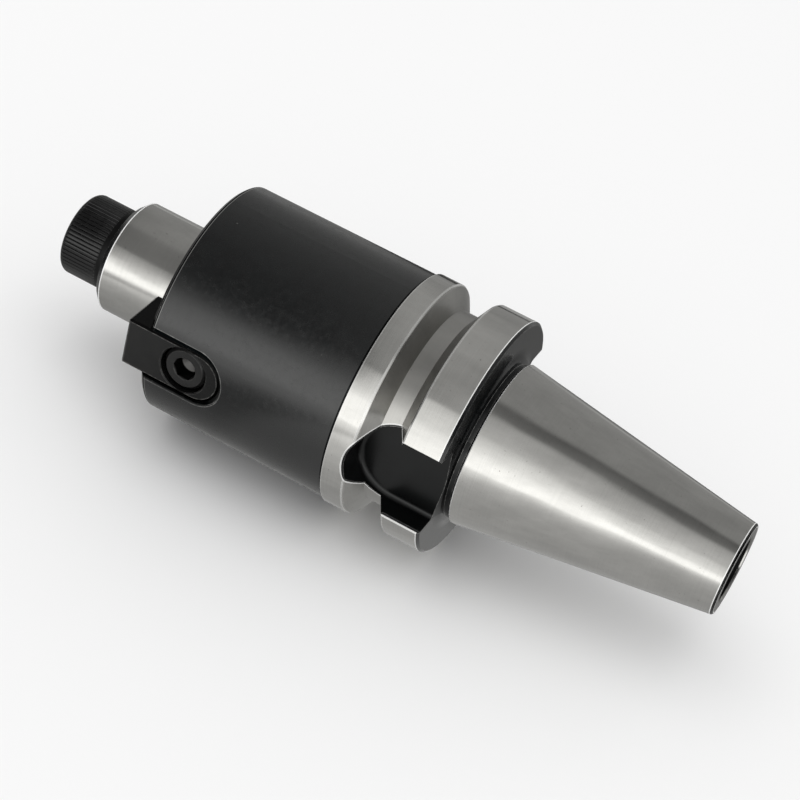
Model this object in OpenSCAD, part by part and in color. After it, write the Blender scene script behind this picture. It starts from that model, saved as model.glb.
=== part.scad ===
// Shell mill holder: a steep-taper arbor that carries a shell mill on a pilot,
// drives it with two keys let into its nose and clamps it with a socket screw.
// Stations are measured from the gauge plane and grow towards the cutter.
// The holder lies along X with its cutter end at -X. Its drive keys and drive
// slots face -Y and +Y, and the origin is the centre of the gauge plane.

/* [Taper] */
// Diameter of the 7/24 taper at the gauge plane
gauge_d = 31.75; // [31:0.05:32.4]
// Length of the taper behind the gauge plane
taper_l = 48.4; // [44:0.2:56]
// Edge break at the large end of the taper
taper_edge = 0.2; // [0.1:0.05:0.4]
// Chamfer round the small end of the taper
small_end_chamfer = 0.25; // [0.2:0.05:0.8]

/* [Pull stud bore] */
// Diameter of the plain pilot bore in the small end
stud_pilot_d = 12.5; // [12:0.1:13]
// Depth of the plain pilot bore
stud_pilot_l = 7; // [5:0.5:9]
// Chamfer at the mouth of the pilot bore
stud_mouth = 0.3; // [0.2:0.1:1]
// Core diameter of the tapped hole behind the pilot bore
stud_core_d = 10.2; // [9.6:0.1:10.8]
// Full depth of the tapped hole from the small end
stud_hole_l = 34; // [28:1:38]

/* [Flange] */
// Diameter of the flange
flange_d = 46; // [45.5:0.25:48]
// Station of the flange's rear face
flange_back = 2; // [1.8:0.1:3]
// Station where the flange ends and the body begins
flange_front = 22; // [21:0.5:26]
// Chamfer on the flange's rear edge
flange_chamfer = 0.5; // [0.2:0.1:0.8]
// Station of the middle of the gripper groove
groove_at = 13.6; // [13:0.1:14.2]
// Width of the gripper groove at the flange's outside
groove_w = 8; // [7.5:0.25:8.5]
// Diameter at the root of the gripper groove
groove_root_d = 38; // [37:0.5:40]
// Angle between the flanks of the gripper groove
groove_angle = 60; // [54:1:64]
// Edge break on both edges of the gripper groove
groove_edge = 0.25; // [0.1:0.05:0.4]
// Depth of the grinding relief below the taper's large end
relief_depth = 0.6; // [0.3:0.1:1]
// Height of the neck ring above the taper's large end
neck_step = 0.25; // [0.1:0.05:0.4]
// Radius of the fillet that leads the rear face into the neck ring
back_fillet = 3.5; // [2.5:0.25:5]
// Radial run of that fillet
back_fillet_run = 1.9; // [1:0.1:2.3]

/* [Drive slots] */
// Width of the two drive slots
slot_w = 16.1; // [15:0.1:16.6]
// Distance of a drive slot's floor from the axis
slot_floor = 16.3; // [16.1:0.1:17.5]
// Station of a drive slot's round front end
slot_nose = 18.45; // [17.8:0.05:19.5]
// Fillet between a drive slot's walls and floor
slot_fillet = 1; // [0.4:0.1:1.5]
// Chamfer on the outer edges of a drive slot
slot_chamfer = 0.5; // [0.2:0.1:0.8]

/* [Body] */
// Diameter of the body behind the cutter
body_d = 45; // [44.5:0.25:45.5]
// Gauge length, from the gauge plane to the cutter's seat
gauge_l = 60; // [55:1:90]
// Chamfer on the body's front edge
body_chamfer = 0.5; // [0.3:0.1:1.4]

/* [Pilot] */
// Diameter of the pilot that centres the cutter
pilot_d = 22; // [20:0.5:22.5]
// Length of the pilot in front of the seat
pilot_l = 18; // [15:0.5:24]
// Chamfer on the pilot's front edge
pilot_chamfer = 1.1; // [0.5:0.1:2]
// Width of the grinding relief at the pilot's root
root_relief_w = 1.5; // [1:0.1:2]
// Depth of the grinding relief at the pilot's root
root_relief_depth = 0.3; // [0.1:0.05:0.5]
// Reach of the same relief across the seat, past the pilot's surface
seat_relief_w = 0.8; // [0.4:0.1:1.2]

/* [Drive keys] */
// Width of a drive key
key_w = 10; // [9.6:0.1:11]
// Length of a drive key
key_l = 19.6; // [18:0.2:24]
// Height of a drive key
key_h = 9.2; // [8.4:0.1:9.8]
// Distance of a drive key's outer face inside the body's radius
key_drop = 0.8; // [0.5:0.05:1.1]
// Length of a drive key in front of the seat
key_out = 4.4; // [3:0.2:6]
// Chamfer on a drive key's outer and front edges
key_chamfer = 0.4; // [0.2:0.1:0.6]
// Clearance between a drive key and each wall of its slot
key_fit = 0.02; // [0.01:0.01:0.05]
// Depth of the key slot's edge chamfer below the body's surface at its crown
key_slot_chamfer = 0.85; // [0.75:0.05:1.3]

/* [Key screws] */
// Thread diameter of a key screw
key_screw_d = 5; // [4:0.5:5.5]
// Length of a key screw under its head
key_screw_l = 8; // [7:0.5:8.5]
// Head diameter of a key screw
key_head_d = 8.5; // [8:0.1:8.8]
// Head height of a key screw
key_head_h = 5; // [4.6:0.1:5.4]
// Chamfer on a key screw's head
key_head_chamfer = 0.6; // [0.3:0.1:0.8]
// Width across flats of a key screw's socket
key_hex = 4; // [3:0.5:4.5]
// Depth of a key screw's socket
key_hex_depth = 2.6; // [2:0.1:3]
// Depth of a key screw's head below the key's outer face
key_screw_sink = 0.6; // [0.3:0.1:0.9]
// Distance of a key screw from its key's round end
key_screw_inset = 7.4; // [6.6:0.1:9]
// Diameter of the counterbore for a key screw's head
counterbore_d = 9.2; // [9:0.05:9.5]

/* [Clamp screw] */
// Thread diameter of the clamp screw
clamp_d = 10; // [8:0.5:11]
// Length of the clamp screw under its head
clamp_l = 25; // [20:1:30]
// Head diameter of the clamp screw over its knurl
clamp_head_d = 16; // [15:0.25:18]
// Head height of the clamp screw
clamp_head_h = 10; // [9:0.25:12]
// Chamfer on the clamp screw's head
clamp_head_chamfer = 0.8; // [0.4:0.1:1.2]
// Height of the plain band under the knurl
clamp_band = 1.8; // [1:0.1:2.5]
// Number of knurl ribs round the clamp screw's head
knurl_ribs = 62; // [40:1:80]
// Depth of the knurl
knurl_depth = 0.25; // [0.1:0.05:0.4]
// Width across flats of the clamp screw's socket
clamp_hex = 8; // [6:0.5:9]
// Depth of the clamp screw's socket
clamp_hex_depth = 5.5; // [4.6:0.1:6.5]
// Depth of the tapped hole for the clamp screw
clamp_hole_l = 32; // [31:0.5:36]
// Radial clearance round a screw in its hole
thread_fit = 0.05; // [0.01:0.01:0.1]

/* [Hidden] */
$fn = 96;
// Overshoot of a cut past the surface that it opens
past = 1;
// Half of the point angle that a twist drill leaves in a blind hole
drill_half_angle = 59;
taper_slope = 7 / 48;
gauge_r = gauge_d / 2;
flange_r = flange_d / 2;
body_r = body_d / 2;
pilot_r = pilot_d / 2;
pilot_end = gauge_l + pilot_l;
relief_r = gauge_r - relief_depth;
neck_r = gauge_r + neck_step;
neck_at = flange_back - back_fillet + sqrt(pow(back_fillet, 2) - pow(back_fillet_run, 2));
groove_half = groove_w / 2;
groove_root_r = groove_root_d / 2;
groove_flank = (flange_r - groove_root_r) * tan(groove_angle / 2);
slot_nose_centre = slot_nose - slot_w / 2;
key_face = body_r - key_drop;
key_slot_break = body_r - key_slot_chamfer;
key_front = gauge_l + key_out;
key_back = key_front - key_l;
key_floor = key_face - key_h;
key_round_centre = key_back + key_w / 2;
key_slot_w = key_w + 2 * key_fit;
key_slot_centre = key_round_centre;
key_screw_at = key_back + key_screw_inset;
key_head_top = key_face - key_screw_sink;
key_head_seat = key_head_top - key_head_h;
key_screw_tip = key_head_seat - key_screw_l;
// Free depth of a tapped hole past the tip of a key screw
key_hole_spare = 0.4;
// Clearance round a key screw's shank in its key
key_shank_fit = 0.25;
// Chamfer on a screw's tip, as a share of its thread diameter
tip_share = 0.1;
// Half angle of the cone at the bottom of a hexagon socket
socket_half_angle = 60;
// How far the band under the knurl stays below the knurl's crests
band_drop = 0.05;
// Share of a knurl pitch that the flat crest and the flat valley take
crest_share = 0.35;
valley_share = 0.25;

// Radius of the taper at a station
function taper_r(at) = gauge_r + at * taper_slope;

// Lays a shape drawn along Z down on the holder's axis, with +Z towards the cutter
module along_axis() {
    rotate([0, -90, 0]) children();
}

// Turns a shape drawn to face +X so that it faces -Y for side 0 and +Y for side 1
module facing(side) {
    rotate([0, 0, side == 0 ? -90 : 90]) children();
}

// Extrudes an outline of width and station outwards, along X
module outward(from, to) {
    translate([from, 0, 0]) rotate([90, 0, 90]) linear_extrude(to - from) children();
}

// Places a shape drawn along Z on a radial axis at a station, with +Z outwards
module radially(at) {
    translate([0, 0, at]) rotate([0, 90, 0]) children();
}

// Outline of a straight run that ends in a half-round
module round_ended(w, centre, open_end) {
    translate([-w / 2, min(centre, open_end)]) square([w, abs(open_end - centre)]);
    translate([0, centre]) circle(d = w);
}

// Section of the holder from its axis outwards: radius first, then station
module holder_section() {
    difference() {
        polygon([
            [0, -taper_l],
            [taper_r(-taper_l) - small_end_chamfer, -taper_l],
            [taper_r(small_end_chamfer - taper_l), small_end_chamfer - taper_l],
            [taper_r(-taper_edge), -taper_edge],
            [gauge_r - taper_edge, 0],
            [relief_r, relief_depth / 2],
            [relief_r, neck_at - neck_step],
            [neck_r, neck_at],
            [neck_r + back_fillet_run, flange_back],
            [flange_r - flange_chamfer, flange_back],
            [flange_r, flange_back + flange_chamfer],
            [flange_r, groove_at - groove_half - groove_edge],
            [flange_r - groove_edge, groove_at - groove_half + groove_edge * tan(groove_angle / 2)],
            [groove_root_r, groove_at - groove_half + groove_flank],
            [groove_root_r, groove_at + groove_half - groove_flank],
            [flange_r - groove_edge, groove_at + groove_half - groove_edge * tan(groove_angle / 2)],
            [flange_r, groove_at + groove_half + groove_edge],
            [flange_r, flange_front],
            [body_r, flange_front],
            [body_r, gauge_l - body_chamfer],
            [body_r - body_chamfer, gauge_l],
            [pilot_r + seat_relief_w + root_relief_depth, gauge_l],
            [pilot_r + seat_relief_w, gauge_l - root_relief_depth],
            [pilot_r - root_relief_depth, gauge_l - root_relief_depth],
            [pilot_r - root_relief_depth, gauge_l + root_relief_w],
            [pilot_r, gauge_l + root_relief_w + root_relief_depth],
            [pilot_r, pilot_end - pilot_chamfer],
            [pilot_r - pilot_chamfer, pilot_end],
            [0, pilot_end]
        ]);
        intersection() {
            translate([neck_r + back_fillet_run, flange_back - back_fillet]) circle(r = back_fillet);
            translate([neck_r, flange_back - back_fillet]) square([back_fillet_run, back_fillet + past]);
        }
    }
}

// Blind hole with a drill point, drilled from z = 0 towards -Z
module drilled_hole(r, depth) {
    translate([0, 0, -depth]) cylinder(r = r, h = depth + past);
    translate([0, 0, -depth - r / tan(drill_half_angle)]) cylinder(r1 = 0, r2 = r, h = r / tan(drill_half_angle));
}

// Countersink of a given width round a hole of radius r, whose mouth is at z = 0
module mouth_chamfer(r, width) {
    translate([0, 0, -width]) cylinder(r1 = r, r2 = r + width + past, h = width + past);
}

// Pilot bore and tapped hole for the pull stud, seen from the small end
module stud_bore() {
    translate([0, 0, -taper_l]) mirror([0, 0, 1]) {
        translate([0, 0, -stud_pilot_l]) cylinder(d = stud_pilot_d, h = stud_pilot_l + past);
        mouth_chamfer(stud_pilot_d / 2, stud_mouth);
        drilled_hole(stud_core_d / 2, stud_hole_l);
    }
}

// Tapped hole for the clamp screw in the end of the pilot
module clamp_hole() {
    translate([0, 0, pilot_end]) {
        drilled_hole(clamp_d / 2 + thread_fit, clamp_hole_l);
        mouth_chamfer(clamp_d / 2 + thread_fit, clamp_head_chamfer);
    }
}

// Half section of a drive slot: distance from its middle first, then from the axis
module slot_half_section() {
    translate([0, slot_floor]) square([slot_w / 2 - slot_fillet, flange_r + past - slot_floor]);
    translate([0, slot_floor + slot_fillet]) square([slot_w / 2, flange_r + past - slot_floor - slot_fillet]);
    translate([slot_w / 2 - slot_fillet, slot_floor + slot_fillet]) circle(r = slot_fillet);
}

// Cut for one drive slot: it runs in from the rear face and ends in a round nose
module drive_slot() {
    run_in = slot_nose_centre - flange_back + past;
    translate([0, 0, slot_nose_centre - run_in]) linear_extrude(run_in) rotate(-90) {
        slot_half_section();
        mirror([1, 0]) slot_half_section();
    }
    radially(slot_nose_centre) rotate_extrude() slot_half_section();
}

// Chamfers along the two straight outer edges of a drive slot and round its nose
module drive_slot_chamfer() {
    edge = slot_w / 2 + slot_chamfer;
    edge_x = sqrt(pow(flange_r, 2) - pow(edge, 2));
    back = flange_back - past;
    for (side = [-1, 1])
        translate([0, 0, back]) linear_extrude(groove_at - groove_half - back) polygon([
            [edge_x - slot_chamfer, 0],
            [edge_x - slot_chamfer, side * slot_w / 2],
            [edge_x + past, side * (edge + past)],
            [edge_x + past, 0]
        ]);
    radially(slot_nose_centre) translate([0, 0, flange_r]) mouth_chamfer(slot_w / 2, slot_chamfer);
}

// Cut for one drive key, with its edge chamfer and the tapped hole under it
module key_slot() {
    front = gauge_l + past;
    outward(key_floor, body_r + past) round_ended(key_slot_w, key_slot_centre, front);
    reach = body_r + past - key_slot_break;
    for (side = [-1, 1])
        translate([0, 0, key_slot_centre]) linear_extrude(front - key_slot_centre) polygon([
            [key_slot_break, 0],
            [key_slot_break, side * key_slot_w / 2],
            [key_slot_break + reach, side * (key_slot_w / 2 + reach)],
            [key_slot_break + reach, 0]
        ]);
    radially(key_slot_centre) translate([0, 0, key_slot_break])
        cylinder(r1 = key_slot_w / 2, r2 = key_slot_w / 2 + reach, h = reach);
    radially(key_screw_at) translate([0, 0, key_floor])
        drilled_hole(key_screw_d / 2 + thread_fit, key_floor - key_screw_tip + key_hole_spare);
}

// One-piece steel holder: taper, flange, body and pilot
module holder_body() {
    color("dimgray") along_axis() difference() {
        rotate_extrude() holder_section();
        stud_bore();
        clamp_hole();
        for (side = [0, 1])
            facing(side) {
                drive_slot();
                drive_slot_chamfer();
                key_slot();
            }
    }
}

// Front length of a drive key, with square corners broken by chamfers
module key_front_part() {
    half = key_w / 2;
    run = key_front - key_round_centre;
    intersection() {
        translate([0, 0, key_round_centre]) linear_extrude(run) polygon([
            [key_floor, -half],
            [key_floor, half],
            [key_face - key_chamfer, half],
            [key_face, half - key_chamfer],
            [key_face, key_chamfer - half],
            [key_face - key_chamfer, -half]
        ]);
        translate([0, half, 0]) rotate([90, 0, 0]) linear_extrude(key_w) polygon([
            [key_floor, key_round_centre],
            [key_floor, key_front - key_chamfer],
            [key_floor + key_chamfer, key_front],
            [key_face - key_chamfer, key_front],
            [key_face, key_front - key_chamfer],
            [key_face, key_round_centre]
        ]);
        outward(key_floor, key_face) polygon([
            [-half, key_round_centre],
            [-half, key_front - key_chamfer],
            [key_chamfer - half, key_front],
            [half - key_chamfer, key_front],
            [half, key_front - key_chamfer],
            [half, key_round_centre]
        ]);
    }
}

// Drive key drawn to face +X: round rear end, square front, counterbored for its screw
module drive_key() {
    half = key_w / 2;
    difference() {
        union() {
            key_front_part();
            radially(key_round_centre) {
                translate([0, 0, key_floor]) cylinder(r = half, h = key_h - key_chamfer);
                translate([0, 0, key_face - key_chamfer])
                    cylinder(r1 = half, r2 = half - key_chamfer, h = key_chamfer);
            }
        }
        radially(key_screw_at) {
            translate([0, 0, key_head_seat]) cylinder(d = counterbore_d, h = key_h);
            translate([0, 0, key_floor - past]) cylinder(r = key_screw_d / 2 + key_shank_fit, h = key_h);
            translate([0, 0, key_face]) mouth_chamfer(counterbore_d / 2, key_chamfer / 2);
        }
    }
}

// Hexagon socket cut down from z = 0, with a chamfered mouth and a conical bottom
module hex_socket(across, depth) {
    corner_r = across / 2 / cos(30);
    point = across / 2 / tan(socket_half_angle);
    translate([0, 0, -depth]) cylinder(r = corner_r, h = depth + past, $fn = 6);
    translate([0, 0, -depth - point]) cylinder(r1 = 0, r2 = across / 2, h = point);
    mouth_chamfer(across / 2, corner_r - across / 2);
}

// Shank of a screw below z = 0, with its tip chamfered
module shank(d, l) {
    tip = d * tip_share;
    translate([0, 0, tip - l]) cylinder(d = d, h = l - tip);
    translate([0, 0, -l]) cylinder(d1 = d - 2 * tip, d2 = d, h = tip);
}

// Key screw along Z, with the underside of its head at z = 0
module key_screw() {
    difference() {
        union() {
            cylinder(d = key_head_d, h = key_head_h - key_head_chamfer);
            translate([0, 0, key_head_h - key_head_chamfer])
                cylinder(d1 = key_head_d, d2 = key_head_d - 2 * key_head_chamfer, h = key_head_chamfer);
            shank(key_screw_d, key_screw_l);
        }
        translate([0, 0, key_head_h]) hex_socket(key_hex, key_hex_depth);
    }
}

// Puts a key screw in its key on one side
module seated_key_screw(side) {
    color("black") along_axis() facing(side) radially(key_screw_at)
        translate([0, 0, key_head_seat]) key_screw();
}

// Outline of the straight knurl: a flat crest and a flat valley in every pitch
module knurl_outline() {
    pitch = 360 / knurl_ribs;
    crest = clamp_head_d / 2;
    valley = crest - knurl_depth;
    polygon([
        for (rib = [0 : knurl_ribs - 1], corner = [
            [valley, -0.5 * valley_share],
            [valley, 0.5 * valley_share],
            [crest, 0.5 - 0.5 * crest_share],
            [crest, 0.5 + 0.5 * crest_share]
        ])
            let (turn = (rib + corner[1]) * pitch) [corner[0] * cos(turn), corner[0] * sin(turn)]
    ]);
}

// Clamp screw along Z, with the underside of its head at z = 0
module clamp_screw_shape() {
    crest = clamp_head_d / 2;
    band_r = crest - band_drop;
    difference() {
        union() {
            cylinder(r = band_r, h = clamp_band);
            intersection() {
                translate([0, 0, clamp_band]) linear_extrude(clamp_head_h - clamp_band) knurl_outline();
                rotate_extrude() polygon([
                    [0, clamp_band - past],
                    [crest + past, clamp_band - past],
                    [crest + past, clamp_head_h - clamp_head_chamfer - past],
                    [crest - clamp_head_chamfer, clamp_head_h],
                    [0, clamp_head_h]
                ]);
            }
            shank(clamp_d, clamp_l);
        }
        translate([0, 0, clamp_head_h]) hex_socket(clamp_hex, clamp_hex_depth);
    }
}

module drive_key_1() {
    color("darkslategray") along_axis() facing(0) drive_key();
}

module drive_key_2() {
    color("darkslategray") along_axis() facing(1) drive_key();
}

module key_screw_1() {
    seated_key_screw(0);
}

module key_screw_2() {
    seated_key_screw(1);
}

module clamp_screw() {
    color("black") along_axis() translate([0, 0, pilot_end]) clamp_screw_shape();
}

holder_body();
drive_key_1();
drive_key_2();
key_screw_1();
key_screw_2();
clamp_screw();
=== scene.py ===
import math

import bpy
from mathutils import Matrix, Vector


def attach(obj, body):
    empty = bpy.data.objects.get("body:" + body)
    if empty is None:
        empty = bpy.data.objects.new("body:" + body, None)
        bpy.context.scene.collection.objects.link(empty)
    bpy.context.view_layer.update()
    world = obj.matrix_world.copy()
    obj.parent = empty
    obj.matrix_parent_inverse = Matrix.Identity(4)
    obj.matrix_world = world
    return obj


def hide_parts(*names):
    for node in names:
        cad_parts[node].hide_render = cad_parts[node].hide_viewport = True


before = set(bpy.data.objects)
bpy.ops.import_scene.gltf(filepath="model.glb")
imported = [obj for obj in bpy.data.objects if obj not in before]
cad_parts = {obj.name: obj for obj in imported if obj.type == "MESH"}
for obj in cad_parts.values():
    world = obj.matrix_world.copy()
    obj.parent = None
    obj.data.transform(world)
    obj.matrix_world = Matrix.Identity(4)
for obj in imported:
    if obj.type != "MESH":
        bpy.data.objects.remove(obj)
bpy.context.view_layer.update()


# Holder body: one forged blank of case-hardened steel, turned, blackened all over, and then ground
# bright on the taper and its end face, on the flange with its gripper groove, and on the pilot that
# centres the cutter. The body, the drive slots and the key slots stay black, with rubbed edges.

mm_per_m = 1000.0


class Field:
    """A value, colour or vector that changes over a surface. Reckoning with it adds its nodes."""

    def __init__(self, tree, socket=None):
        self.tree = tree
        self.socket = socket

    def node(self, kind, settings=None, inputs=None, out=0):
        """A new node: first its settings, then the values or links of its sockets."""
        made = self.tree.nodes.new(kind)
        for name, value in (settings or {}).items():
            if name == "stops":
                stops = made.color_ramp.elements
                while len(stops) < len(value):
                    stops.new(0.5)
                for stop, (place, colour) in zip(stops, value):
                    stop.position = place
                    stop.color = colour
            else:
                setattr(made, name, value)
        for name, value in (inputs or {}).items():
            if isinstance(value, Field):
                self.tree.links.new(value.socket, made.inputs[name])
            else:
                made.inputs[name].default_value = value
        return Field(self.tree, made.outputs[out])

    def maths(self, operation, *terms):
        return self.node("ShaderNodeMath", {"operation": operation}, dict(enumerate(terms)))

    def __add__(self, other):
        return self.maths("ADD", self, other)

    def __radd__(self, other):
        return self.maths("ADD", other, self)

    def __sub__(self, other):
        return self.maths("SUBTRACT", self, other)

    def __rsub__(self, other):
        return self.maths("SUBTRACT", other, self)

    def __mul__(self, other):
        return self.maths("MULTIPLY", self, other)

    def __rmul__(self, other):
        return self.maths("MULTIPLY", other, self)

    def __truediv__(self, other):
        return self.maths("DIVIDE", self, other)

    def __abs__(self):
        return self.maths("ABSOLUTE", self)

    def root(self):
        return self.maths("SQRT", self)

    def at_least(self, limit):
        return self.maths("MAXIMUM", self, limit)

    def at_most(self, limit):
        return self.maths("MINIMUM", self, limit)

    def step(self, low, high):
        """0 below low, 1 above high, and smooth between."""
        inputs = {"Value": self, "From Min": low, "From Max": high}
        return self.node("ShaderNodeMapRange", {"interpolation_type": "SMOOTHSTEP"}, inputs)

    def over(self, limit, soft):
        return self.step(limit - soft, limit + soft)

    def between(self, low, high, soft):
        return self.over(low, soft) * (1 - self.over(high, soft))

    def mix(self, first, second):
        """A colour that goes from first, where this is 0, to second, where this is 1."""
        inputs = {"Factor": self, "A": first, "B": second}
        return self.node("ShaderNodeMix", {"data_type": "RGBA"}, inputs, out=2)

    def noise(self, scale, detail=2.0, roughness=0.5):
        inputs = {"Vector": self, "Scale": scale, "Detail": detail, "Roughness": roughness}
        return self.node("ShaderNodeTexNoise", None, inputs)


class Finish:
    """A material and its shader, with the place on the surface in mm: station is the distance
    from the taper's gauge plane towards the cutter, then across and up, and radius from the axis."""

    def __init__(self, name):
        self.material = bpy.data.materials.new(name)
        self.material.use_nodes = True
        tree = self.material.node_tree
        self.shader = tree.nodes["Principled BSDF"]
        self.start = Field(tree)
        metres = self.start.node("ShaderNodeTexCoord", out="Object")
        in_mm = {0: metres, "Scale": mm_per_m}
        self.place = self.start.node("ShaderNodeVectorMath", {"operation": "SCALE"}, in_mm)
        self.station = self.part_of_place(0) * -1
        self.across = self.part_of_place(1)
        self.up = self.part_of_place(2)
        self.radius = (self.across * self.across + self.up * self.up).root()

    def part_of_place(self, axis):
        return self.start.node("ShaderNodeSeparateXYZ", None, {0: self.place}, out=axis)

    def spot(self, along, across, up):
        return self.start.node("ShaderNodeCombineXYZ", None, {0: along, 1: across, 2: up})

    def stretched(self, along, across):
        """The place drawn out or pressed together along and across the holder's axis."""
        return self.spot(self.station * along, self.across * across, self.up * across)

    def from_middle_line(self, past_centre):
        """Distance from the middle of a round-ended slot, whose end lies where past_centre is over 0."""
        past = past_centre.at_least(0)
        return (past * past + self.up * self.up).root()

    def rounded(self, edge_mm):
        """Normal of the surface with its sharp edges rounded."""
        return self.start.node("ShaderNodeBevel", {"samples": 6}, {"Radius": edge_mm / mm_per_m})

    def worn_edge(self, edge_mm, low, high):
        """1 on sharp edges, where the plain normal differs from the rounded one."""
        plain = self.start.node("ShaderNodeNewGeometry", out="Normal")
        pair = {0: self.rounded(edge_mm), 1: plain}
        same = self.start.node("ShaderNodeVectorMath", {"operation": "DOT_PRODUCT"}, pair, out="Value")
        return (1 - same).step(low, high)

    def bump(self, height_mm, edge_mm=0.0):
        """Normal of a height, over edges that are broken by edge_mm."""
        inputs = {"Height": height_mm, "Distance": 1 / mm_per_m, "Strength": 1.0}
        if edge_mm:
            inputs["Normal"] = self.rounded(edge_mm)
        return self.start.node("ShaderNodeBump", None, inputs)

    def give(self, constants, fields):
        for name, value in constants.items():
            self.shader.inputs[name].default_value = value
        for name, field in fields.items():
            self.start.tree.links.new(field.socket, self.shader.inputs[name])
        return self.material


def wear_finish(node, material):
    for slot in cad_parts[node].material_slots:
        slot.material = material


def blackened(finish, depth_mm, light, dark):
    """Black oxide: a near-black layer with faint mottling, over the grain of the steel."""
    mottle = finish.place.noise(0.35, 3.0, 0.6)
    grain = finish.place.noise(5.0, 2.0, 0.6)
    colour = mottle.step(0.3, 0.7).mix(dark, light)
    rough = 0.14 + 0.06 * mottle + 0.04 * grain
    return colour, rough, depth_mm * grain


# Places on the holder in mm. A seam is how softly bright steel turns to black.
ground = Finish("ground_and_blackened_steel")
seam = 0.03
taper_l = 48.4
taper_ground_l = 47.98
taper_core_r = 7.6
end_face_r = 8.5
end_rim_r = 8.3
stud_bore_r = 6.27
flange_rear = 2.5
flange_front = 22.03
neck_r = 18.75
groove_rear = 9.6
groove_front = 17.6
groove_rim_r = 22.7
slot_rim = 8.3
slot_break = 0.25
slot_nose_at = 10.4
key_round_at = 49.8
key_half_w = 5.0
key_slot_rear = 43.0
key_slot_edge = 5.85
body_front = 59.24
body_rim_r = 22.35
seat_at = 60.0
pilot_from = 60.9
pilot_to = 76.9
pilot_core_r = 10.8


def ring(first, last, soft=seam):
    """1 on the holder from one station to another."""
    return ground.station.between(first, last, soft)


from_slot = ground.from_middle_line(ground.station - slot_nose_at)
in_slot = 1 - from_slot.over(slot_rim, seam)
end_face = 1 - ground.station.over(0.3 - taper_l, 0.02)
bright_taper = ring(-taper_ground_l, -0.02) * ground.radius.over(taper_core_r, 0.1)
bright_face = end_face * ground.radius.between(stud_bore_r, end_face_r, 0.02)
bright_flange = ring(flange_rear, flange_front) * ground.radius.over(neck_r, 0.15) * (1 - in_slot)
bright_pilot = ring(pilot_from, pilot_to, 0.04) * ground.radius.over(pilot_core_r, 0.1)
bright = (bright_taper + bright_face + bright_flange + bright_pilot).at_most(1)

# Painted highlight: the broken edges of the ground faces get a near-white colour, so they show as fine
# bright lines.
on_end = 1 - ground.station.over(0.02 - taper_l, 0.01)
end_rim = on_end * ground.radius.between(end_rim_r, end_face_r, seam)
taper_edges = ring(-0.22, 0.05) + ring(-taper_ground_l, 0.18 - taper_ground_l) + end_rim
flange_edges = ring(flange_rear - 0.05, flange_rear + 0.18)
flange_edges = flange_edges + 0.3 * ring(flange_front - 0.18, flange_front, 0.02)
groove_edges = ring(groove_rear - 0.3, groove_rear + 0.02, 0.02)
groove_edges = groove_edges + ring(groove_front - 0.02, groove_front + 0.3, 0.02)
slot_edges = from_slot.between(slot_rim, slot_rim + slot_break, 0.02) * ring(flange_rear, flange_front)
pilot_edge = ring(pilot_to - 0.22, pilot_to + 0.02)
edge_highlight_lines = taper_edges + flange_edges + 0.35 * groove_edges + 0.8 * slot_edges + pilot_edge
edge_highlight = edge_highlight_lines.at_most(1) * bright

# Ground steel: rings from the wheel, hand smears, small specks, and a duller groove with painted shade.
in_rings = ground.station * 5.2 + ground.radius * 3.1
wheel_marks = ground.spot(in_rings, ground.across * 0.035, ground.up * 0.035)
coarse_marks = wheel_marks.noise(0.55, 3.0, 0.7)
fine_marks = wheel_marks.noise(2.3, 2.0, 0.6)
waves = ground.stretched(0.045, 0.16).noise(1.0, 1.0, 0.4)
speck = ground.place.noise(2.1, 1.0, 0.4).step(0.76, 0.8)
slanted = ground.station * 0.12 + ground.up * 0.1
smear = ground.spot(slanted, ground.across * 0.3, ground.up * 0.3).noise(1.0, 4.0, 0.6)
in_groove = ring(groove_rear + 0.05, groove_front - 0.05, 0.05)
in_groove = in_groove * (1 - ground.radius.over(groove_rim_r, 0.1))
lightness = 0.45 * fine_marks + 0.5 * smear.step(0.15, 0.85)
steel_colour = lightness.mix((0.45, 0.445, 0.43, 1), (0.67, 0.663, 0.64, 1))
# Painted shade: the groove's colour is drawn towards black.
steel_colour = (in_groove * 0.22).mix(steel_colour, (0.1, 0.095, 0.085, 1))
steel_colour = (speck * 0.5).mix(steel_colour, (0.2, 0.19, 0.17, 1))
# Painted highlight: near-white colour on the broken edges.
steel_colour = edge_highlight.mix(steel_colour, (0.95, 0.95, 0.94, 1))
steel_rough = 0.05 + 0.06 * coarse_marks + 0.1 * smear + 0.1 * speck + 0.2 * in_groove + 0.25 * edge_highlight
steel_height = 0.0011 * coarse_marks + 0.0007 * fine_marks + 0.2 * waves

# Black oxide: turning marks under it, oil on the body, and steel bared at rubbed edges and chips.
oxide_light = (0.0026, 0.0034, 0.0037, 1)
oxide_dark = (0.0014, 0.0019, 0.0022, 1)
black_colour, black_rough, black_height = blackened(ground, 0.0015, oxide_light, oxide_dark)
oil = ground.place.noise(0.9, 4.0, 0.7) * ground.station.over(flange_front + 0.07, 0.1)
turned = ground.stretched(9.0, 0.05).noise(0.6, 2.0, 0.5)
black_rough = black_rough + 0.1 * oil.step(0.4, 0.7) + 0.1 * in_slot
black_height = black_height + 0.007 * oil + 0.0006 * turned
scuff = ground.place.noise(0.9, 4.0, 0.65).step(0.44, 0.6)
chip = ground.place.noise(0.9, 1.0, 0.4).step(0.815, 0.83) * (1 - bright)
edge = ground.worn_edge(0.15, 0.01, 0.08)
front_rub = ring(body_front - 0.14, body_front - 0.02) * ground.radius.over(body_rim_r, 0.05)
bare = (bright + edge * (0.25 + 0.5 * scuff)).at_most(1)
bare = (bare + 0.12 * chip + 0.3 * front_rub).at_most(1)
from_key = ground.from_middle_line(key_round_at - ground.station)
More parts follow.
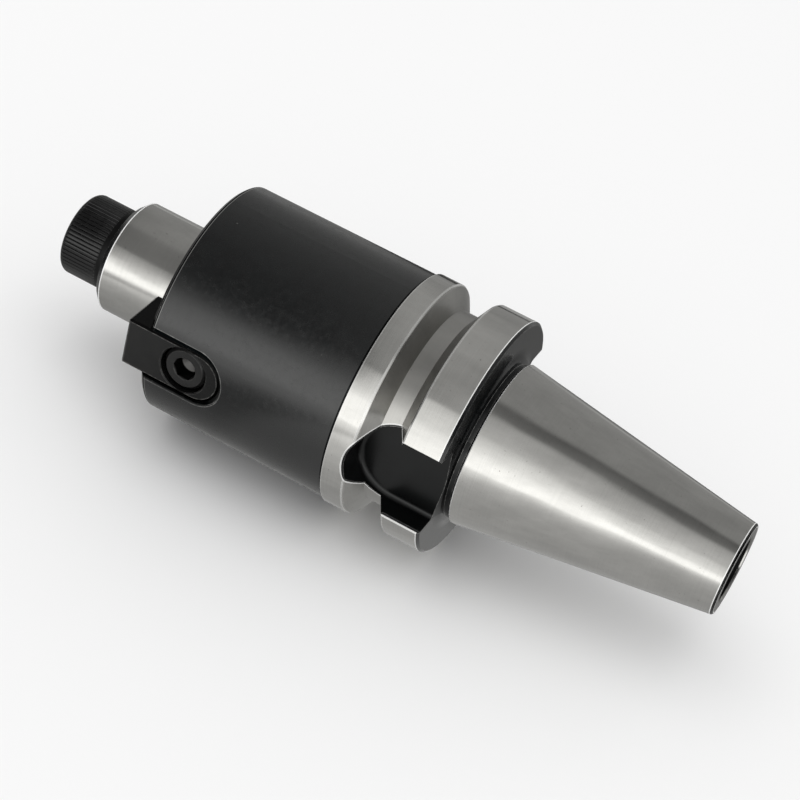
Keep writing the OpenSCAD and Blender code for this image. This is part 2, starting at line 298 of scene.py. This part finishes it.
# Painted shade along the keys: a dark band at the gap each side of a key, and on its upper side only
# across the slot's chamfer.
upper_chamfer_shade = from_key.between(key_half_w + 0.4, key_slot_edge, seam) * ground.up.step(0.0, 1.0)
gap_shade = from_key.between(key_half_w - 0.2, key_half_w + 0.55, 0.06) + upper_chamfer_shade
key_gap_shade = gap_shade.at_most(1) * ring(key_slot_rear, seat_at + 0.2, 0.05)
slot_rub = from_key.between(key_slot_edge - 0.01, key_slot_edge + 0.13, seam)
slot_rub = slot_rub * ring(key_slot_rear, seat_at, 0.05)
bare = (bare * (1 - 0.9 * key_gap_shade) + 0.35 * slot_rub * (0.4 + 0.6 * scuff)).at_most(1)

# Painted shade: the key gaps, the small end's chamfer, the drive slots and the joints at the body's ends
# are near-black metal, which gives back almost no light.
past_taper = 1 - ground.station.over(-taper_ground_l - 0.01, 0.01)
small_end_break = past_taper * ground.radius.step(end_face_r, end_face_r + 0.03)
body_ends = ring(flange_front, flange_front + 0.47, 0.04) + ring(body_front, seat_at + 0.5, 0.04)
painted_shade = (key_gap_shade + 0.85 * small_end_break + 0.5 * in_slot + 0.9 * body_ends).at_most(1)
painted_shade = painted_shade * (1 - bright) * (1 - bare)
wear_finish(
    "holder_body",
    ground.give(
        {"IOR": 1.65},
        {
            "Base Color": bare.mix(black_colour, steel_colour),
            # Painted highlight and shade: the edge lines lose most of their metal so their near-white
            # shows, and the painted shade is near-black metal.
            "Metallic": bare * (1 - 0.7 * edge_highlight) + painted_shade,
            "Roughness": bright * steel_rough + (1 - bright) * black_rough,
            "Normal": ground.bump(bright * steel_height + (1 - bright) * black_height, 0.06),
        },
    ),
)


# Pull stud thread: the turns of the M12 x 1.75 thread tapped into the small end behind its plain
# pilot bore. They are ridges on the wall of the bore, in a darker steel than the ground faces.


def mesh_of(name, points, faces, smooth_angle):
    mesh = bpy.data.meshes.new(name)
    mesh.from_pydata(points, [], faces)
    mesh.validate()
    mesh.update()
    mesh.shade_smooth()
    mesh.set_sharp_from_angle(angle=math.radians(smooth_angle))
    piece = bpy.data.objects.new(name, mesh)
    bpy.context.scene.collection.objects.link(piece)
    return piece


def round_axis(station, r, angle):
    """A point in metres at a station and radius in mm, turned from straight across the holder."""
    return (-station / mm_per_m, -r * math.cos(angle) / mm_per_m, -r * math.sin(angle) / mm_per_m)


stud_wall_r = 5.1
stud_thread_h = 0.42
stud_pitch = 1.75
stud_thread_from = -40.4
stud_thread_to = -17.0
points_per_turn = 48
run_out_turns = 0.6
ridge_outline = ((-0.42, -0.1), (-0.1, 1.0), (0.1, 1.0), (0.42, -0.1))
stud_thread_l = stud_thread_to - stud_thread_from
turns = stud_thread_l / stud_pitch
count = int(turns * points_per_turn)
thread_points = []
thread_faces = [(3, 2, 1, 0), (4 * count, 4 * count + 1, 4 * count + 2, 4 * count + 3)]
for i in range(count + 1):
    share = i / count
    run_out = points_per_turn * run_out_turns
    fade = min(1.0, i / run_out, (count - i) / run_out)
    for offset, stand in ridge_outline:
        height = stud_thread_h * (stand * fade if stand > 0 else stand)
        station = stud_thread_from + stud_thread_l * share + offset * stud_pitch
        thread_points.append(round_axis(station, stud_wall_r - height, 2 * math.pi * turns * share))
    if i:
        start = 4 * (i - 1)
        for j in range(4):
            k = (j + 1) % 4
            thread_faces.append((start + j, start + k, start + 4 + k, start + 4 + j))
stud_thread = mesh_of("pull_stud_thread", thread_points, thread_faces, 35)
tapped_finish = Finish("tapped_steel")
tapped_mottle = tapped_finish.place.noise(1.5, 3.0, 0.6)
stud_thread.data.materials.append(
    tapped_finish.give(
        {"Metallic": 1.0},
        {
            "Base Color": tapped_mottle.mix((0.2, 0.19, 0.18, 1), (0.34, 0.33, 0.31, 1)),
            "Roughness": 0.28 + 0.15 * tapped_mottle,
            "Normal": tapped_finish.bump(0.002 * tapped_finish.place.noise(9.0)),
        },
    )
)
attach(stud_thread, "holder")


# Drive keys: two blocks of hardened steel with a round rear end, milled, let into slots in the
# body's nose and blackened. The broken edges are worn a little lighter than the faces.

key_flat_half_w = 4.61
key_rim_half_w = 4.5
key_face_at = 21.63
worn_steel = (0.3, 0.29, 0.28, 1)
keys = Finish("blackened_key_steel")
key_colour, key_rough, key_height = blackened(
    keys, 0.003, (0.0062, 0.0062, 0.006, 1), (0.0035, 0.0036, 0.0036, 1)
)
key_rub = keys.place.noise(1.4, 4.0, 0.7).step(0.42, 0.62)
from_middle = keys.from_middle_line(key_round_at - keys.station)
past_flat = from_middle.over(key_flat_half_w, 0.03)
on_face = abs(keys.across).over(key_face_at, seam)
key_rim = from_middle.between(key_rim_half_w - 0.08, key_rim_half_w + 0.08, 0.03) * on_face
key_wear = keys.worn_edge(0.13, 0.005, 0.08) * (0.08 + 0.35 * key_rub) * (1 - 0.7 * past_flat)
key_bare = key_wear + key_rim * (0.06 + 0.24 * key_rub)
key_marks = keys.stretched(4.0, 0.4).noise(1.2, 2.0, 0.5)
key_material = keys.give(
    {"IOR": 1.42},
    {
        "Base Color": key_bare.mix(key_colour, worn_steel),
        # Painted shade: the side faces past the flat are near-black metal, which darkens them.
        "Metallic": key_bare + 0.8 * past_flat * (1 - key_bare),
        "Roughness": key_rough + 0.06,
        "Normal": keys.bump(key_height + 0.0012 * key_marks, 0.08),
    },
)
for side in ("1", "2"):
    wear_finish("drive_key_" + side, key_material)


# Key screws: M5 socket screws sunk into the keys' counterbores. Cold-headed, hardened and
# blackened, with a matt head, painted shade on the walls of the socket and a rubbed socket floor.

key_screw_at = 52.2
key_socket_wall_r = 1.85
key_socket_reach = 2.4
key_socket_mouth = 20.95
key_screws = Finish("blackened_key_screw_steel")
screw_colour, screw_rough, screw_height = blackened(
    key_screws, 0.005, (0.012, 0.0118, 0.0115, 1), (0.006, 0.006, 0.006, 1)
)
screw_rub = key_screws.place.noise(2.2, 4.0, 0.7).step(0.4, 0.65)
past_screw = key_screws.station - key_screw_at
from_screw = (past_screw * past_screw + key_screws.up * key_screws.up).root()
in_socket = 1 - from_screw.over(key_socket_reach, 0.05)
in_socket = in_socket * (1 - abs(key_screws.across).over(key_socket_mouth, 0.05))
socket_wall_shade = in_socket * from_screw.step(key_socket_wall_r, key_socket_wall_r + 0.13)
screw_wear = key_screws.worn_edge(0.1, 0.005, 0.1) * (0.18 + 0.35 * screw_rub)
screw_bare = screw_wear * (1 - in_socket) + 0.3 * (in_socket - socket_wall_shade)
screw_material = key_screws.give(
    {"IOR": 1.5},
    {
        "Base Color": screw_bare.mix(screw_colour, worn_steel),
        # Painted shade: the socket walls are near-black metal.
        "Metallic": screw_bare + 0.9 * socket_wall_shade,
        "Roughness": screw_rough + 0.1,
        "Normal": key_screws.bump(screw_height, 0.06),
    },
)
for side in ("1", "2"):
    wear_finish("key_screw_" + side, screw_material)


# Clamp screw: an M10 socket screw with a knurled head, which pulls the cutter on to its seat.
# The head is cold-formed with a plain band under the knurl, the thread is rolled, and all is black.

pilot_end = 78.0
head_r = 8.0
head_h = 10.0
band_h = 1.8
band_drop = 0.06
rib_count = 62
rib_depth = 0.2
nose_h = 1.25
hex_r = 4.0
hex_depth = 5.5
hex_cone_h = 1.6
mouth_r = hex_r / math.cos(math.pi / 6)
screw_r = 5.0
screw_l = 25.0
pitch = 1.5
thread_depth = 0.92
root_half_share = 0.06
flank_share = 0.36
thread_run_out = 1.2
shank_drop = 0.35
shank_top = -0.6
around = rib_count * 6
loops = []


def rib(i):
    """How far a rib stands out at point i around the head: a narrow valley and a wide crest."""
    return (0.0, 0.92, 1.0, 1.0, 1.0, 0.92)[i % 6]


def rib_turn(i):
    """Place of point i around the head, with the points of each rib drawn towards its valley."""
    return i - i % 6 + (0.0, 0.96, 1.5, 3.0, 4.5, 5.04)[i % 6]


def add_loop(station, radius_of, turn_of=float):
    """A closed row of points round the axis, at a station from the pilot's end."""
    step_angle = 2 * math.pi / around
    loops.append(
        [round_axis(pilot_end + station, radius_of(i), step_angle * turn_of(i)) for i in range(around)]
    )


def plain(r):
    return lambda i: r


def knurled(inset, depth=rib_depth):
    return lambda i: head_r - inset - depth * (1 - rib(i))


def hexed(share):
    """A round mouth that turns into the hexagon as share goes from 0 to 1."""

    def radius_of(i):
        turn = (2 * math.pi * i / around) % (math.pi / 3) - math.pi / 6
        return share * hex_r / math.cos(turn) + (1 - share) * mouth_r

    return radius_of


def threaded(station):
    """The rolled thread at a station, with its run-out under the head and its pointed tip."""
    tip = min(1.0, station + screw_l)
    fade = min(1.0, max(0.0, (shank_top - station) / thread_run_out))

    def radius_of(i):
        phase = (station / pitch - i / around) % 1.0
        rise = max(0.0, min(1.0, (abs(phase - 0.5) - root_half_share) / flank_share))
        rolled = screw_r - thread_depth * (1 - rise) * fade - shank_drop * (1 - fade)
        return min(rolled, screw_r - 1.0 + tip)

    return radius_of


steps_per_turn = 12
shank_steps = int((screw_l - 0.2) / pitch * steps_per_turn)
for j in range(shank_steps + 1):
    station = -screw_l + j * (screw_l + shank_top) / shank_steps
    add_loop(station, threaded(station))

# Outline of the head from the neck under it: plain band, knurl, rounded nose and hexagon socket.
for station, r in (
    (-0.25, screw_r - shank_drop),
    (0.0, screw_r - 0.05),
    (0.0, head_r - 0.45),
    (0.12, head_r - 0.17),
    (0.35, head_r - band_drop),
    (band_h - 0.12, head_r - band_drop),
    (band_h, head_r - 0.12),
):
    add_loop(station, plain(r))
add_loop(band_h + 0.1, knurled(0.8 * rib_depth, 0.2 * rib_depth), rib_turn)
knurl_l = head_h - band_h - 0.35 - nose_h
for j in range(4):
    add_loop(band_h + 0.35 + knurl_l * j / 3, knurled(0.0), rib_turn)
for rise, inset in ((0.3, 0.07), (0.6, 0.22), (0.85, 0.46), (1.05, 0.78), (1.2, 1.15)):
    add_loop(head_h - nose_h + rise, knurled(inset, rib_depth * max(0.0, 1 - inset / 0.8)), rib_turn)
for station, r in ((head_h, head_r - 1.6), (head_h, mouth_r + 0.25), (head_h - 0.12, mouth_r + 0.02)):
    add_loop(station, plain(r))
for share in (0.0, 0.5, 1.0):
    add_loop(head_h - 0.35 - 0.3 * share, hexed(share))
add_loop(head_h - hex_depth, hexed(1.0))
add_loop(head_h - hex_depth, plain(hex_r * 0.96))

tip_point = round_axis(pilot_end - screw_l, 0.0, 0.0)
cone_point = round_axis(pilot_end + head_h - hex_depth - hex_cone_h, 0.0, 0.0)
clamp_points = [tip_point] + [point for loop in loops for point in loop] + [cone_point]
clamp_faces = []
last_loop = 1 + (len(loops) - 1) * around
for i in range(around):
    k = (i + 1) % around
    clamp_faces.append((0, 1 + k, 1 + i))
    for start in range(1, last_loop, around):
        clamp_faces.append((start + i, start + k, start + around + k, start + around + i))
    clamp_faces.append((last_loop + i, last_loop + k, len(clamp_points) - 1))
clamp = mesh_of("clamp_screw_knurled", clamp_points, clamp_faces, 32)

clamping = Finish("blackened_clamp_screw_steel")
clamp_colour, clamp_rough, clamp_height = blackened(
    clamping, 0.004, (0.005, 0.005, 0.0052, 1), (0.003, 0.003, 0.0032, 1)
)
clamp_rub = clamping.place.noise(1.6, 4.0, 0.7).step(0.4, 0.65)
clamp_bare = clamping.worn_edge(0.07, 0.03, 0.3) * (0.06 + 0.3 * clamp_rub)
shaded_band = 1 - clamping.station.step(pilot_end + band_h, pilot_end + band_h + 0.1)
clamp.data.materials.append(
    clamping.give(
        {"IOR": 1.5},
        {
            "Base Color": clamp_bare.mix(clamp_colour, worn_steel),
            # Painted shade: the plain band under the knurl is partly near-black metal, as well as
            # rougher.
            "Metallic": clamp_bare + 0.6 * shaded_band * (1 - clamp_bare),
            "Roughness": clamp_rough + 0.06 + 0.2 * shaded_band,
            "Normal": clamping.bump(clamp_height),
        },
    )
)
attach(clamp, "clamp_screw")
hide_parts("clamp_screw")


# Floor: a wide sheet of pale matt paper. The holder lies on it with its flange, and it takes the
# soft shadow.

floor_at = -0.0232
half = 4.0
floor_points = [(x, y, floor_at) for x, y in ((-half, -half), (half, -half), (half, half), (-half, half))]
floor = mesh_of("paper_floor", floor_points, [(0, 1, 2, 3)], 30)
paper = Finish("pale_paper")
paper_colour = (0.3 * paper.place.noise(0.02)).mix((0.88, 0.88, 0.88, 1), (0.87, 0.87, 0.87, 1))
floor.data.materials.append(
    paper.give({"Specular IOR Level": 0.0, "Roughness": 1.0}, {"Base Color": paper_colour})
)


# Light tent: a half pipe of white cloth round the holder's axis with a cloth under it, lit from
# outside. It is brightest low at the front, ends in a sharp edge above the camera and is dim
# overhead, behind and underneath. Only the gloss of the steel sees it.

tent_r = 0.6
tent_half_l = 1.1
under_at = -0.0231
foot = math.degrees(math.asin(-under_at / tent_r))
arc_steps = 60
tent_points = []
for i in range(arc_steps + 1):
    angle = math.radians(-foot + (180 + 2 * foot) * i / arc_steps)
    for x in (-tent_half_l, tent_half_l):
        tent_points.append((x, -tent_r * math.cos(angle), tent_r * math.sin(angle)))
corners = len(tent_points)
tent_faces = [(i, i + 1, (i + 3) % corners, (i + 2) % corners) for i in range(0, corners, 2)]
tent_faces += [tuple(range(0, corners, 2)), tuple(range(1, corners, 2))]
tent = mesh_of("light_tent", tent_points, tent_faces, 60)
cloth = bpy.data.materials.new("lit_tent_cloth")
cloth.use_nodes = True
cloth.node_tree.nodes.clear()
weave = Field(cloth.node_tree)
spot = weave.node("ShaderNodeTexCoord", out="Object")
along = weave.node("ShaderNodeSeparateXYZ", None, {0: spot}, out=0)
front = weave.node("ShaderNodeSeparateXYZ", None, {0: spot}, out=1) * -1
rise = weave.node("ShaderNodeSeparateXYZ", None, {0: spot}, out=2)
turn = weave.maths("ARCTAN2", rise, front) * (180 / math.pi)
turn = turn + 360 * (1 - turn.step(-90.01, -90.0))
strength = 2.2


def round_share(degrees):
    """Share of the half pipe, for degrees up from the front."""
    return (degrees + 10) / 200


def under_share(metres):
    """Share of the cloth underneath, for metres in front of the holder's axis."""
    return (metres + tent_r) / (2 * tent_r)


def cloth_glow(share, share_of, table):
    """Brightness along a share of the cloth, from places and their brightness."""
    stops = []
    for place, level in table:
        grey = level / strength
        stops.append((share_of(place), (grey, grey, 0.985 * grey, 1)))
    return weave.node("ShaderNodeValToRGB", {"stops": stops}, {0: share})


def along_tent(panels, share_of, where, seams):
    """Cloth panels from the taper's end of the tent to the screw's, joined at soft seams."""
    share = share_of(where)
    joined = cloth_glow(share, share_of, panels[0])
    for panel, (far, near) in zip(panels[1:], seams):
        joined = along.step(far, near).mix(cloth_glow(share, share_of, panel), joined)
    return joined


# Brightness of each panel at degrees up from the front: taper's small end and large end, ring in
# front of the groove, body, pilot, screw head, and beyond the screw.
round_panels = (
    (
        (0, 1.8), (7, 1.7), (12, 1.25), (30, 0.98), (36, 0.75),
        (66, 0.5), (74, 0.2), (90, 0.14), (97, 0.31), (165, 0.3),
    ),
    (
        (0, 1.8), (15, 1.7), (24, 1.35), (36, 0.95), (44, 0.66),
        (66, 0.5), (74, 0.2), (90, 0.14), (97, 0.31), (165, 0.33),
    ),
    ((0, 1.75), (16, 1.55), (46, 0.95), (49, 0.42), (65, 0.41), (102, 0.47), (127, 0.45), (165, 0.33)),
    ((0, 1.8), (22, 1.55), (36, 0.36), (44, 0.11), (65, 0.13), (113, 0.32), (137, 0.42), (165, 0.4)),
    (
        (0, 1.8), (8, 1.6), (14, 1.15), (30, 0.85), (45, 0.56),
        (49, 0.27), (88, 0.26), (98, 0.34), (165, 0.31),
    ),
    ((0, 2.1), (16, 1.7), (29, 0.35), (42, 0.08), (75, 0.04), (130, 0.12), (165, 0.25)),
    ((0, 1.2), (40, 0.4), (90, 0.22), (165, 0.3)),
)
round_seams = (
    (0.07, 0.12),
    (-0.125, -0.1),
    (-0.183, -0.172),
    (-0.275, -0.26),
    (-0.325, -0.31),
    (-0.6, -0.45),
)

# Brightness of the cloth underneath at metres in front of the axis: a card beyond the small end,
# then taper, flange, slots, ring, body, pilot and what lies beyond it.
# Painted shadow: the near-black stretches just in front of the axis stand in for the holder's own shadow
# on the cloth.
under_panels = (
    ((-0.2, 0.45), (-0.04, 0.25), (-0.03, 1.3), (0.09, 1.3), (0.12, 0.75), (0.22, 1.1), (0.6, 1.6)),
    (
        (-0.2, 0.45), (-0.1, 0.18), (-0.012, 0.22), (0.0, 0.42),
        (0.04, 0.5), (0.09, 0.66), (0.22, 1.1), (0.6, 1.6),
    ),
    ((0.02, 0.38), (0.06, 0.75), (0.1, 1.07), (0.25, 1.4), (0.6, 1.7)),
    ((-0.01, 0.04), (0.0, 0.05), (0.01, 0.33), (0.06, 0.3), (0.1, 0.5), (0.22, 1.3), (0.6, 1.7)),
    ((0.0, 0.3), (0.05, 0.56), (0.08, 0.81), (0.21, 1.2), (0.6, 1.7)),
    ((0.0, 0.35), (0.1, 0.5), (0.25, 1.0), (0.6, 1.3)),
    ((-0.2, 0.35), (-0.06, 0.3), (-0.03, 0.03), (0.12, 0.03), (0.16, 0.9), (0.3, 1.4), (0.6, 1.7)),
    ((-0.25, 0.6), (-0.05, 0.4), (0.05, 0.4), (0.12, 0.9), (0.3, 1.4), (0.6, 1.7)),
)
under_seams = (
    (0.072, 0.085),
    (-0.02, 0.0),
    (-0.05, -0.042),
    (-0.072, -0.062),
    (-0.115, -0.105),
    (-0.155, -0.14),
    (-0.19, -0.17),
)
wall = along_tent(round_panels, round_share, turn, round_seams)
under = along_tent(under_panels, under_share, front, under_seams)
glow = rise.step(under_at + 0.00005, under_at + 0.0001).mix(under, wall)
curtain_at = 0.95
curtain = rise.step(0.15, 0.4).mix((0.015, 0.015, 0.015, 1), (0.12, 0.12, 0.12, 1))
glow = abs(along).step(curtain_at, curtain_at + 0.05).mix(glow, curtain)
lit = weave.node("ShaderNodeEmission", None, {"Color": glow, "Strength": strength})
end = cloth.node_tree.nodes.new("ShaderNodeOutputMaterial")
cloth.node_tree.links.new(lit.socket, end.inputs["Surface"])
tent.data.materials.append(cloth)
tent.visible_camera = False
tent.visible_diffuse = False
tent.visible_shadow = False


# Studio: one soft lamp over the tent, white walls all round, and the camera above and in front on
# the side of the taper. The lamp and the walls light the black parts and the floor.

lamp_at = Vector((-0.1, -0.2, 1.3))
lamp_aim = Vector((-0.02, 0.0, 0.0))
overhead = bpy.data.lights.new("overhead_lamp", "AREA")
overhead.shape = "RECTANGLE"
overhead.size = 1.6
overhead.size_y = 1.2
overhead.energy = 5.0
lamp = bpy.data.objects.new("overhead_lamp", overhead)
lamp.location = lamp_at
lamp.rotation_euler = (lamp_aim - lamp_at).to_track_quat("-Z", "Y").to_euler()
lamp.visible_glossy = False
bpy.context.scene.collection.objects.link(lamp)

world = bpy.data.worlds.new("white_room")
world.use_nodes = True
bpy.context.scene.world = world
room = Field(world.node_tree)
seen = room.node("ShaderNodeLightPath", out="Is Camera Ray")
for ray in ("Is Glossy Ray", "Is Transmission Ray"):
    seen = seen + room.node("ShaderNodeLightPath", out=ray)
white = seen.at_most(1).mix((0.89, 0.89, 0.89, 1), (1, 1, 1, 1))
background = world.node_tree.nodes["Background"]
world.node_tree.links.new(white.socket, background.inputs["Color"])
background.inputs["Strength"].default_value = 1.0

frame_w_px = 800
focal_px = 2332.228
view = bpy.data.cameras.new("camera")
view.sensor_width = 36.0
view.lens = view.sensor_width * focal_px / frame_w_px
view.clip_start = 0.01
view.clip_end = 20.0
camera = bpy.data.objects.new("camera", view)
camera_at = (0.078945, -0.317045, 0.258066)
right = Vector((0.863557, 0.450813, 0.225916))
above = Vector((-0.447523, 0.478732, 0.75534))
back = Vector((0.232364, -0.753382, 0.615161))
turned_to = Matrix((right, above, back)).transposed().to_4x4()
camera.matrix_world = Matrix.Translation(camera_at) @ turned_to
bpy.context.scene.collection.objects.link(camera)
bpy.context.scene.camera = camera
bpy.context.scene.view_settings.view_transform = "Standard"
